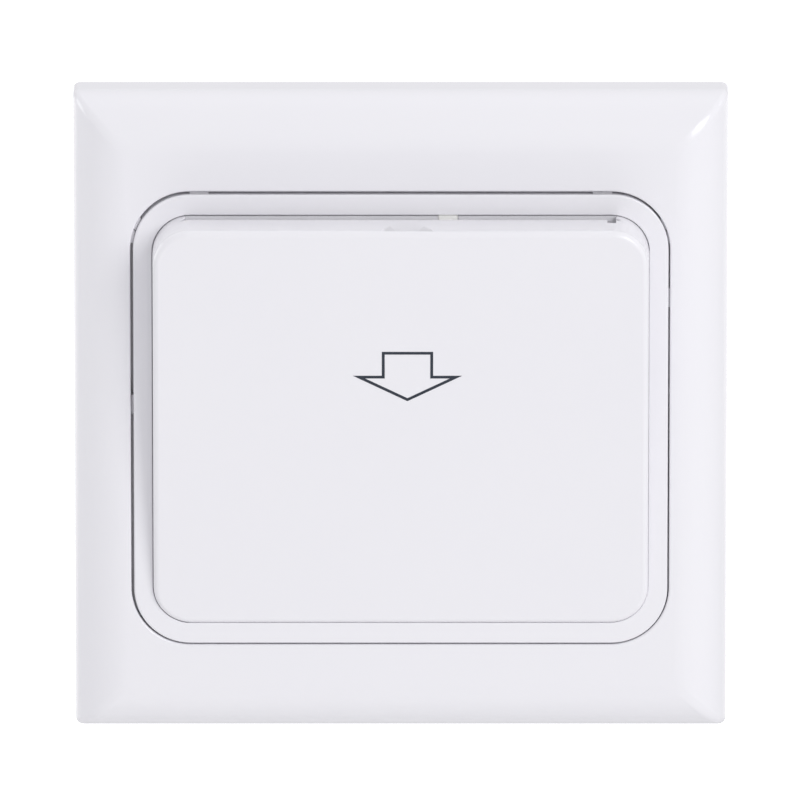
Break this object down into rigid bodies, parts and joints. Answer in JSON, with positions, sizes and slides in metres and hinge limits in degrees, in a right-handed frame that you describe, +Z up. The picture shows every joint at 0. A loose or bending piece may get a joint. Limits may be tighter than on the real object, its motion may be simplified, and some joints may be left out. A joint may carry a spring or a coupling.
{
  "type": "hotel key card switch",
  "caption": "White key card power switch: a wedge-shaped card pocket on a square wall plate with a wiring box behind.",
  "frame": {"origin": "on the wall surface, midway between the two box screws", "axes": "+X is right seen from the room, +Z is up, the front faces -Y"},
  "size_m": [0.086, 0.0454, 0.086],
  "materials": {
    "white_plastic": "satin",
    "inner_plastic": "matt",
    "clear_plastic": "polished",
    "led_plastic": "polished",
    "steel": "zinc plated",
    "brass": "nickel plated",
    "board": "solder mask",
    "relay_plastic": "satin",
    "black_plastic": "matt",
    "film_plastic": "satin",
    "can": "satin",
    "varistor_epoxy": "gloss",
    "brown_lacquer": "gloss",
    "terminal_plastic": "matt"
  },
  "bodies": {
    "base": {"face_frame": "white_plastic", "inner_panel": "white_plastic", "pocket_cover": "white_plastic", "card_tray": "white_plastic", "tray_screws": "steel", "light_pipe": "clear_plastic", "led": "led_plastic", "mounting_plate": "inner_plastic", "rear_housing": "inner_plastic", "housing_screws": "steel", "pcb": "board", "pcb_screws": "steel", "lever_pin": "steel", "microswitch_case": "black_plastic", "switch_pins": "brass", "terminal_block": "terminal_plastic", "contact_bars": "brass", "relay": "relay_plastic", "film_capacitor": "film_plastic", "electrolytic_capacitor": "can", "varistor": "varistor_epoxy", "fuse": "black_plastic", "bridge_rectifier": "black_plastic", "resistor": "brown_lacquer", "timer_chip": "black_plastic"},
    "card_lever": {"card_lever": "white_plastic"},
    "switch_plunger": {"switch_plunger": "terminal_plastic"},
    "terminal_screw_1": {"terminal_screw_1": "steel"},
    "terminal_cage_1": {"terminal_cage_1": "brass"},
    "terminal_screw_2": {"terminal_screw_2": "steel"},
    "terminal_cage_2": {"terminal_cage_2": "brass"},
    "terminal_screw_3": {"terminal_screw_3": "steel"},
    "terminal_cage_3": {"terminal_cage_3": "brass"}
  },
  "joints": [
    {"name": "card_lever_pivot", "type": "hinge", "parent": "base", "child": "card_lever", "pos_m": [0, -0.0041, 0.003], "axis": [1, 0, 0], "range_deg": [0, 9]},
    {"name": "plunger_slide", "type": "slide", "parent": "base", "child": "switch_plunger", "axis": [0, 1, 0], "range_m": [0, 0.00108], "stiffness_N_per_m": 150, "springref_m": -0.005},
    {"name": "terminal_screw_1_turn", "type": "hinge", "parent": "base", "child": "terminal_screw_1", "pos_m": [-0.0095, 0.022, -0.0187], "axis": [0, -1, 0], "range_deg": [0, 1440]},
    {"name": "terminal_cage_1_rise", "type": "slide", "parent": "base", "child": "terminal_cage_1", "axis": [0, 1, 0], "range_m": [0, 0.0024]},
    {"name": "terminal_screw_2_turn", "type": "hinge", "parent": "base", "child": "terminal_screw_2", "pos_m": [0, 0.022, -0.0187], "axis": [0, -1, 0], "range_deg": [0, 1440]},
    {"name": "terminal_cage_2_rise", "type": "slide", "parent": "base", "child": "terminal_cage_2", "axis": [0, 1, 0], "range_m": [0, 0.0024]},
    {"name": "terminal_screw_3_turn", "type": "hinge", "parent": "base", "child": "terminal_screw_3", "pos_m": [0.0095, 0.022, -0.0187], "axis": [0, -1, 0], "range_deg": [0, 1440]},
    {"name": "terminal_cage_3_rise", "type": "slide", "parent": "base", "child": "terminal_cage_3", "axis": [0, 1, 0], "range_m": [0, 0.0024]}
  ],
  "couplings": [
    {"joint": "card_lever_pivot", "follows": "plunger_slide", "rad_per_m": 144.93},
    {"joint": "terminal_screw_1_turn", "follows": "terminal_cage_1_rise", "rad_per_m": 10472},
    {"joint": "terminal_screw_2_turn", "follows": "terminal_cage_2_rise", "rad_per_m": 10472},
    {"joint": "terminal_screw_3_turn", "follows": "terminal_cage_3_rise", "rad_per_m": 10472}
  ]
}
